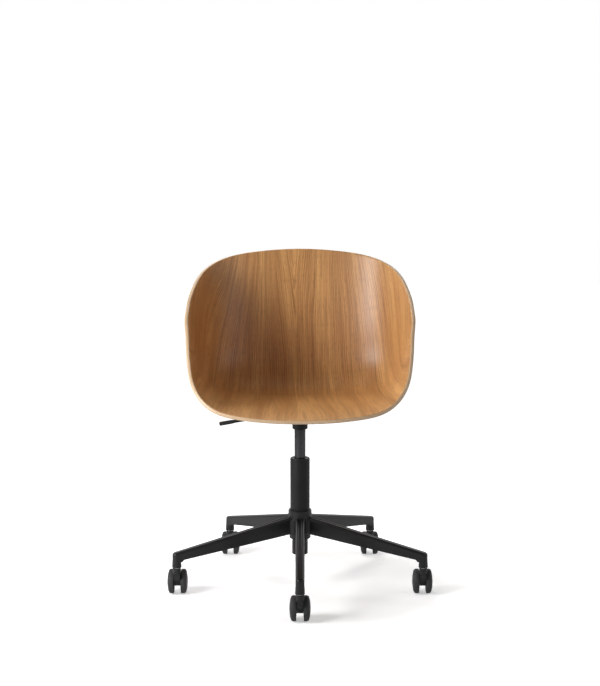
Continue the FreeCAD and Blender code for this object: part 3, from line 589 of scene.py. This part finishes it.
def outline(samples):
    """Even cubic spline: each point is the weighted sum of the four control points round it."""
    shares = np.array(OUTLINE_SHARES + OUTLINE_SHARES[-2:0:-1])
    count = len(shares)
    angles = np.radians(-90 + 360 * np.arange(count) / count)
    poles = np.stack([np.cos(angles), np.sin(angles)], -1) * (shares * SHEET_HALF_WIDTH)[:, None]
    place = np.arange(samples) * count / samples
    first = np.floor(place).astype(int)
    t = (place - first)[:, None]
    weights = ((1 - t) ** 3, 3 * t**3 - 6 * t**2 + 4, -3 * t**3 + 3 * t**2 + 3 * t + 1, t**3)
    return sum(weight * poles[(first + shift - 1) % count] for shift, weight in enumerate(weights)) / 6


print("blank", np.ptp(outline(RIM_SAMPLES), axis=0).round(4), "m across and along")

# %% Rows from the inner face over the edge to the outer face
FACE_ROWS, ROW_CROWDING = 64, 0.85
EDGE_ROUND, EDGE_ROWS = 0.0036, 8


def shell_rows():
    """Share of the outline, inset and depth of each row; the edge is a quarter turn (1 - sin, 1 - cos)."""
    face = np.linspace(0.0, 1.0, FACE_ROWS) ** ROW_CROWDING
    turn = np.linspace(0.0, math.pi / 2, EDGE_ROWS)
    inset = EDGE_ROUND * (1 - np.sin(turn))
    sink = EDGE_ROUND * (1 - np.cos(turn))
    flat = np.linspace(EDGE_ROUND, THICKNESS - EDGE_ROUND, EDGE_ROWS + 2)[1:-1]
    still = np.ones(FACE_ROWS - 1)
    share = np.concatenate([face[:-1], np.ones(2 * EDGE_ROWS + len(flat)), face[-2::-1]])
    inset = np.concatenate([EDGE_ROUND * still, inset, 0 * flat, inset[::-1], EDGE_ROUND * still])
    depth = np.concatenate([0 * still, sink, flat, THICKNESS - sink[::-1], THICKNESS * still])
    return share, inset, depth


print("rows", len(shell_rows()[0]))

# %% Press the shell
def pressed_shell():
    """Closed surface: the form at each place of the blank, less the form's normal times the depth."""
    rim = outline(RIM_SAMPLES)
    reach = np.linalg.norm(rim, axis=-1, keepdims=True)
    share, inset, depth = shell_rows()
    flat = rim[None] * ((1 - inset[:, None, None] / reach[None]) * share[:, None, None])
    across, along = flat[..., 0], flat[..., 1] + SHEET_CENTRE
    points = form(across, along) - form_normal(across, along) * depth[:, None, None]
    sunk = np.broadcast_to(depth[:, None] / THICKNESS, across.shape)
    return grid_piece("seat_shell_veneered", points, sheet=np.stack([across, along], -1), depth=sunk)


shell = dress(pressed_shell(), "seat", "veneer", veneer, "seat_shell")
corners = np.array(shell.bound_box)
print("shell from", corners.min(0).round(4), "to", corners.max(0).round(4))

# %% [markdown]
# ## Round pieces on a lathe
#
# The column and the wheels are solids of revolution. A Screw modifier could turn
# a drawn profile, but a profile with sharp corners would look like a computer
# part, because real corners always catch a thin line of light. So a profile here
# is a list of corners, each with the radius that rounds it: the corner is cut
# back by radius x tan(turn / 2) on both sides and an arc joins the two cuts.

# %% Profiles with rounded corners
ARC_STEPS = 6
LONGEST_CUT = 0.49


def rounded(corners, closed=True):
    """Profile from (radius, height, rounding) corners, each rounding an arc that touches both sides."""
    points = np.array([corner[:2] for corner in corners])
    profile = []
    for index, here in enumerate(points):
        rounding = corners[index][2]
        ends = not closed and index in (0, len(corners) - 1)
        if rounding == 0 or ends:
            profile.append(here)
            continue
        before = points[index - 1] - here
        after = points[(index + 1) % len(corners)] - here
        lengths = np.linalg.norm(before), np.linalg.norm(after)
        before, after = before / lengths[0], after / lengths[1]
        half = math.acos(np.clip(before @ after, -1, 1)) / 2
        cut = min(rounding / math.tan(half), LONGEST_CUT * min(lengths))
        middle = (before + after) / np.linalg.norm(before + after)
        centre = here + middle * cut / math.cos(half)
        radius = cut * math.tan(half)
        start = here + before * cut - centre
        finish = here + after * cut - centre
        sweep = math.pi - 2 * half
        for step in np.linspace(0, 1, ARC_STEPS + 1):
            arc = start * math.sin((1 - step) * sweep) + finish * math.sin(step * sweep)
            profile.append(centre + arc / math.sin(sweep) if sweep > 1e-6 else here)
    if closed:
        profile.append(profile[0])
    return np.array(profile)


print("a rounded corner takes", ARC_STEPS + 1, "points")

# %% Turn a profile about an axis
LATHE_STEPS = 96


def lathe(name, profile, centre=(0.0, 0.0, 0.0), axis="Z", facing=1.0):
    """Profile of (radius, height) turned round an axis: (r cos t, r sin t) beside it and height along it."""
    turn = np.arange(LATHE_STEPS) * 2 * math.pi / LATHE_STEPS
    r, h = profile[:, 0][:, None], profile[:, 1][:, None] * facing
    ring = (r * np.cos(turn), r * np.sin(turn), np.broadcast_to(h, (len(profile), LATHE_STEPS)))
    order = {"Z": (0, 1, 2), "X": (2, 0, 1)}[axis]
    points = np.stack([ring[k] for k in order], -1) + np.array(centre)
    return grid_piece(name, points)


print("each turned piece has", LATHE_STEPS, "sides")

# %% [markdown]
# ## The gas column
#
# The column is two tubes: a powder-coated standpipe, pressed into the star, and
# the dark plated cylinder that slides in it. Between them sits a moulded bush,
# whose flange shows as a thin dull ring on the standpipe's rolled lip. A tube
# could be a Solidify modifier on a cylinder, but the lip, the taper and the
# closed foot are all in the profile, so each tube is turned as one profile.

# %% Turn the standpipe, the bush and the cylinder
def mm(*corners):
    """Corners given in millimetres, in metres."""
    return [tuple(value / 1000 for value in corner) for corner in corners]


standpipe = lathe("standpipe_tube", rounded(mm(
    (4.1, 82.0, 0.2), (20.0, 82.0, 1.6), (20.0, 124.0, 0), (23.4, 131.5, 0), (25.0, 198.5, 0),
    (25.0, 331.0, 1.4), (23.0, 331.0, 0.3), (23.0, 198.5, 0), (21.4, 131.5, 0), (18.0, 124.0, 0),
    (18.0, 85.0, 0.6), (4.1, 85.0, 0.2),
)))
dress(standpipe, "base", "black_steel", matt_black, "standpipe")
bush = lathe("guide_bush_moulded", rounded(mm(
    (14.05, 236.0, 0.4), (22.9, 236.0, 0.6), (22.9, 331.0, 0), (24.2, 331.05, 0.2), (24.2, 332.5, 0.6),
    (16.0, 332.5, 0.5), (14.05, 331.2, 0.4),
)))
dress(bush, "base", "black_plastic", nylon_black, "guide_bush")
cylinder = lathe("gas_cylinder_plated", rounded(mm(
    (9.0, 157.0, 0.4), (14.0, 157.0, 1.2), (14.0, 405.0, 0), (13.4, 432.0, 0.5), (3.1, 432.0, 0.2),
    (3.1, 400.0, 0.2), (12.2, 400.0, 0.2), (12.2, 159.0, 0.2), (9.0, 159.0, 0.2),
)))
dress(cylinder, "seat", "dark_chrome", plated, "gas_cylinder")

# %% [markdown]
# ## Castor wheels
#
# Each castor has two wheels, and each wheel is a nylon disc with a softer tread
# moulded round it, whose shoulder is rounded so that no sharp edge marks the
# floor when the castor turns. The seam between them is a thin groove near the
# shoulder. The disc bulges outwards like a shallow dome round a flat cap over the
# axle's end. The wheel could be one solid with two colours, but the groove only
# reads as a seam when tread and disc are separate rings, so they are turned
# separately and both ride on the wheel's own body.

# %% Profiles of the tread and the disc, as radius and distance from the wheel's inner face
tread_profile = rounded(mm(
    (25.0, 0.5, 0.2), (29.8, 0.4, 0.8), (31.0, 1.6, 0.9), (31.0, 8.0, 4.0), (30.1, 10.9, 4.0),
    (28.0, 13.0, 4.0), (25.3, 14.0, 0.5), (25.0, 13.2, 0.2),
))
disc_profile = rounded(mm(
    (0.0, 11.0, 0), (4.05, 11.0, 0.2), (4.05, 0.2, 0.2), (8.5, -0.2, 0.3), (9.2, 0.1, 0.3),
    (18.4, 0.1, 0.3), (19.2, -0.2, 0.3), (20.0, -0.2, 0.3), (20.6, 0.4, 0.3), (24.9, 0.5, 0.2),
    (24.9, 13.2, 0.2), (24.5, 14.15, 0.5), (20.0, 15.3, 8.0), (14.0, 16.25, 8.0), (9.3, 16.7, 0.3),
    (8.9, 16.1, 0.3), (8.3, 16.8, 0.4), (0.0, 17.1, 0),
), closed=False)
print("wheel diameter", round(2 * float(tread_profile[:, 0].max()), 4))

# %% Turn the ten wheels
for number in range(1, 6):
    for side, facing in (("left", -1.0), ("right", 1.0)):
        node = f"castor_wheel_{side}_{number}"
        low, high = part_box(node)
        inner_face = (low if facing > 0 else high)[0]
        hub = (inner_face, (low[1] + high[1]) / 2, (low[2] + high[2]) / 2)
        disc = lathe(f"wheel_disc_{side}_{number}", disc_profile, hub, "X", facing)
        tread = lathe(f"wheel_tread_{side}_{number}", tread_profile, hub, "X", facing)
        dress(disc, body_of[node], "black_plastic", nylon_black, node)
        dress(tread, body_of[node], "tyre", tyre_grey)

# %% [markdown]
# ## Cast, bent and machined pieces
#
# The star, the castor bodies, the seat plate and the lever already have their
# true shape in the engineering model, but its mesh has knife-sharp edges. On the
# real pieces every edge is broken, by the draft of the mould or by a file. A
# copy of each mesh is therefore cleaned (its doubled corners merged and its flat
# faces joined), and a small Bevel modifier rounds the edges that turn by more
# than a given angle. Modelling them again by hand would only add errors.

# %% Copies with broken edges
SHARP_TURN = math.radians(32)
COPLANAR = math.radians(0.4)
WELD_DISTANCE = 2e-6
BEVEL_SEGMENTS = 2


def broken_edges(node, width):
    """Clean copy of an engineering piece: each edge that turns by more than SHARP_TURN gets that width."""
    mesh = nodes[node].data.copy()
    if "custom_normal" in mesh.attributes:
        mesh.attributes.remove(mesh.attributes["custom_normal"])
    solid = bmesh.new()
    solid.from_mesh(mesh)
    bmesh.ops.remove_doubles(solid, verts=solid.verts, dist=WELD_DISTANCE)
    bmesh.ops.dissolve_limit(solid, angle_limit=COPLANAR, verts=solid.verts, edges=solid.edges)
    solid.to_mesh(mesh)
    solid.free()
    mesh.shade_smooth()
    piece = bpy.data.objects.new(node + "_finished", mesh)
    bpy.context.scene.collection.objects.link(piece)
    bevel = piece.modifiers.new("broken edges", "BEVEL")
    bevel.limit_method = "ANGLE"
    bevel.angle_limit = SHARP_TURN
    bevel.width = width
    bevel.segments = BEVEL_SEGMENTS
    bevel.harden_normals = True
    return piece


print("edges that turn by more than", round(math.degrees(SHARP_TURN)), "degrees are broken")

# %% Break the edges of the cast, bent and machined pieces
edge_widths = {
    "star_base": 0.0008,
    "seat_mechanism": 0.0006,
    "lever": 0.0004,
    "lever_grip": 0.0008,
    "castor_stems": 0.0003,
    "seat_screws": 0.0003,
    "spacer_pads": 0.0006,
    "foot_washer": 0.0003,
    "lever_pivot_pin": 0.0003,
}
edge_widths.update({f"castor_body_{number}": 0.0012 for number in range(1, 6)})
for node, width in edge_widths.items():
    slot = slot_of[node]
    dress(broken_edges(node, width), body_of[node], slot, slot_finish[slot], node)

# %% [markdown]
# ## The pieces inside
#
# The rod, the bearings, the seal and the inserts are hidden when the chair is
# whole, but they are there when it is lifted, turned over or taken apart. Their
# shapes are right as they are, so each keeps its mesh and gets the finish that
# its material asks for.

# %% Finishes for the pieces that stay
for node, piece in nodes.items():
    if not piece.hide_render:
        piece.material_slots[0].material = slot_finish[slot_of[node]]
        print(node, "keeps its mesh, in", slot_of[node])

# %% [markdown]
# ## The white studio
#
# The chair stands on a wide pale floor, with a pale wall far behind it. In such
# a picture the background is pure white, yet the short shadows close to the
# castors stay. More light would bleach the wood, so the white comes from the
# sheets themselves: they are partly lit from within, as on a light table, and
# more so farther out. Only the lens sees that glow, and shiny black coats see a
# little of it, while the light that bounces off the sheets is that of plain
# paper. Each sheet has one side. From behind, and so from below the floor, it is
# clear, so that the chair can be looked at from underneath.

# %% Paint of a sheet that glows on one side
PAPER = 0.80


def lit_paint(name, shown, glow, mirrored):
    """Plain paper for lamps; paint plus glow for the lens, and in that share for gloss; clear from behind."""
    paint = Finish(name, (PAPER, PAPER, PAPER), 1.0)
    plain = paint.node("BsdfDiffuse", [("Color", (PAPER, PAPER, PAPER, 1.0))])
    colour = paint.node("BsdfDiffuse", [("Color", (shown, shown, shown, 1.0))])
    own = paint.node("Emission", [("Strength", glow(paint))])
    both = paint.node("AddShader", [(0, colour), (1, own)])
    rays = paint.tree.nodes.new("ShaderNodeLightPath")
    in_gloss = paint.maths("MULTIPLY", rays.outputs["Is Glossy Ray"], mirrored)
    seen = paint.maths("MAXIMUM", rays.outputs["Is Camera Ray"], in_gloss)
    front = paint.node("MixShader", [(0, seen), (1, plain), (2, both)])
    side = paint.tree.nodes.new("ShaderNodeNewGeometry").outputs["Backfacing"]
    one_sided = paint.node("MixShader", [(0, side), (1, front), (2, paint.node("BsdfTransparent"))])
    paint.tree.links.new(one_sided, paint.tree.nodes["Material Output"].inputs["Surface"])
    paint.tree.nodes.remove(paint.shader)
    return paint.material


print("the paper throws back", PAPER, "of the light")

# %% The floor and the wall behind
SEAT_MIDDLE = (0.0, 0.0, 0.60)
FLOOR_HALF, FLOOR_PAINT, FLOOR_MIRRORED = 30.0, 0.95, 0.3
NEAR_GLOW, FAR_GLOW = 0.46, 1.05
GLOW_START, GLOW_END = 0.34, 0.62
WALL_PLACE, WALL_HALF, WALL_HEIGHT = 7.0, 12.0, 9.0


def floor_glow(paint):
    """Glow that grows with the distance from the chair's axis."""
    away = paint.node("VectorMath", [(0, paint.place)], output="Value", operation="LENGTH")
    return paint.spread(away, GLOW_START, GLOW_END, NEAR_GLOW, FAR_GLOW)


def studio_sheet(name, points, paint):
    """Flat sheet of the studio whose front is turned towards the seat."""
    sheet = grid_piece(name, points, closed=False)
    face = sheet.data.polygons[0]
    if face.normal.dot(Vector(SEAT_MIDDLE) - face.center) < 0:
        sheet.data.flip_normals()
    sheet.data.materials.append(paint)
    print(name, "faces", [round(v) for v in sheet.data.polygons[0].normal])


ends = np.array([-1.0, 1.0])
x, y = np.meshgrid(ends * FLOOR_HALF, ends * FLOOR_HALF, indexing="ij")
floor_paint = lit_paint("studio_floor_paint", FLOOR_PAINT, floor_glow, FLOOR_MIRRORED)
studio_sheet("studio_floor", np.stack([x, y, np.zeros_like(x)], -1), floor_paint)
x, z = np.meshgrid(ends * WALL_HALF, (ends + 1) / 2 * WALL_HEIGHT, indexing="ij")
wall_paint = lit_paint("studio_wall_paint", 0.0, lambda paint: 1.0, 1.0)
studio_sheet("studio_wall", np.stack([x, np.full_like(x, WALL_PLACE), z], -1), wall_paint)

# %% [markdown]
# ## The lamps
#
# The picture's shading tells where the lamps stood. The left wall of the bucket
# shades its own left half, and the seat's front stays bright, so one large lamp
# stands to the left, only a little higher than the back's rim. It also draws the
# broad sheen down the right of the back. A second hangs over the chair, a little
# behind it: it fills the seat but leaves no shine on the lacquer, so it is kept
# out of gloss. A wide weak one on the right keeps the outer wall and the castors
# readable, and a small one low on the right gives the rim its light. A lamp's
# power follows from its distance: white paper that faces it looks as bright as
# power / (pi² x distance²), where 1 is white. With all four, a colour on the seat
# looks about as it is written. The room round them is dark but for a trace, and
# only the lens sees it white.

# %% Lamps round the chair
def softbox(name, place, aim, width, height, power):
    """Rectangular lamp at a place, looking at a point of the chair; the lens doesn't see it."""
    lamp = bpy.data.lights.new(name, "AREA")
    lamp.shape = "RECTANGLE"
    lamp.size, lamp.size_y = width, height
    lamp.energy = power
    holder = bpy.data.objects.new(name, lamp)
    holder.location = place
    holder.rotation_euler = (Vector(place) - Vector(aim)).to_track_quat("Z", "Y").to_euler()
    holder.visible_camera = False
    bpy.context.scene.collection.objects.link(holder)
    return holder


softbox("left_lamp", (-1.54, -0.94, 1.11), SEAT_MIDDLE, 0.95, 0.80, 37.5)
overhead = softbox("overhead_lamp", (-0.27, 0.74, 1.64), SEAT_MIDDLE, 0.75, 0.75, 9.8)
overhead.visible_glossy = False
softbox("right_lamp", (1.88, -1.57, 1.44), (0.0, 0.0, 0.55), 2.2, 1.5, 12.0)
softbox("rim_lamp", (1.90, 0.35, 0.80), SEAT_MIDDLE, 0.5, 0.7, 5.0)
bpy.context.scene.view_settings.view_transform = "Standard"

# %% The room's own light
ROOM_FILL, ROOM_SHEEN = 0.03, 0.10
world = bpy.data.worlds.new("studio")
bpy.context.scene.world = world
world.use_nodes = True
room = world.node_tree
room_rays = room.nodes.new("ShaderNodeLightPath")
level = ROOM_FILL
for ray, strength in (("Is Glossy Ray", ROOM_SHEEN), ("Is Camera Ray", 1.0), ("Is Transmission Ray", 1.0)):
    step = room.nodes.new("ShaderNodeMix")
    room.links.new(room_rays.outputs[ray], step.inputs["Factor"])
    if isinstance(level, float):
        step.inputs["A"].default_value = level
    else:
        room.links.new(level, step.inputs["A"])
    step.inputs["B"].default_value = strength
    level = step.outputs["Result"]
room.links.new(level, room.nodes["Background"].inputs["Strength"])
room.nodes["Background"].inputs["Color"].default_value = (1.0, 1.0, 1.0, 1.0)
print("room light", ROOM_FILL, "and in gloss", ROOM_SHEEN)

# %% [markdown]
# ## The camera
#
# The picture was taken from about four metres in front of the chair, a little
# above the seat's rim, looking slightly down. The lens follows from the picture
# itself: the star's five castors stand on one circle on the floor, and only one
# distance, height and focal length puts all five where they are seen.

# %% Place the camera
CAMERA_DISTANCE = 4.0246
CAMERA_HEIGHT = 1.2156
CAMERA_PITCH = 8.316
FOCAL_PIXELS = 1613.16
IMAGE_WIDTH, IMAGE_HEIGHT = 600, 686
SENSOR = 36.0

lens = bpy.data.cameras.new("picture_camera")
lens.sensor_width = SENSOR
lens.lens = FOCAL_PIXELS * SENSOR / max(IMAGE_WIDTH, IMAGE_HEIGHT)
camera = bpy.data.objects.new("picture_camera", lens)
camera.location = (0.0, -CAMERA_DISTANCE, CAMERA_HEIGHT)
camera.rotation_euler = (math.radians(90 - CAMERA_PITCH), 0.0, 0.0)
bpy.context.scene.collection.objects.link(camera)
bpy.context.scene.camera = camera
print("lens", round(lens.lens, 2), "mm")

# %% [markdown]
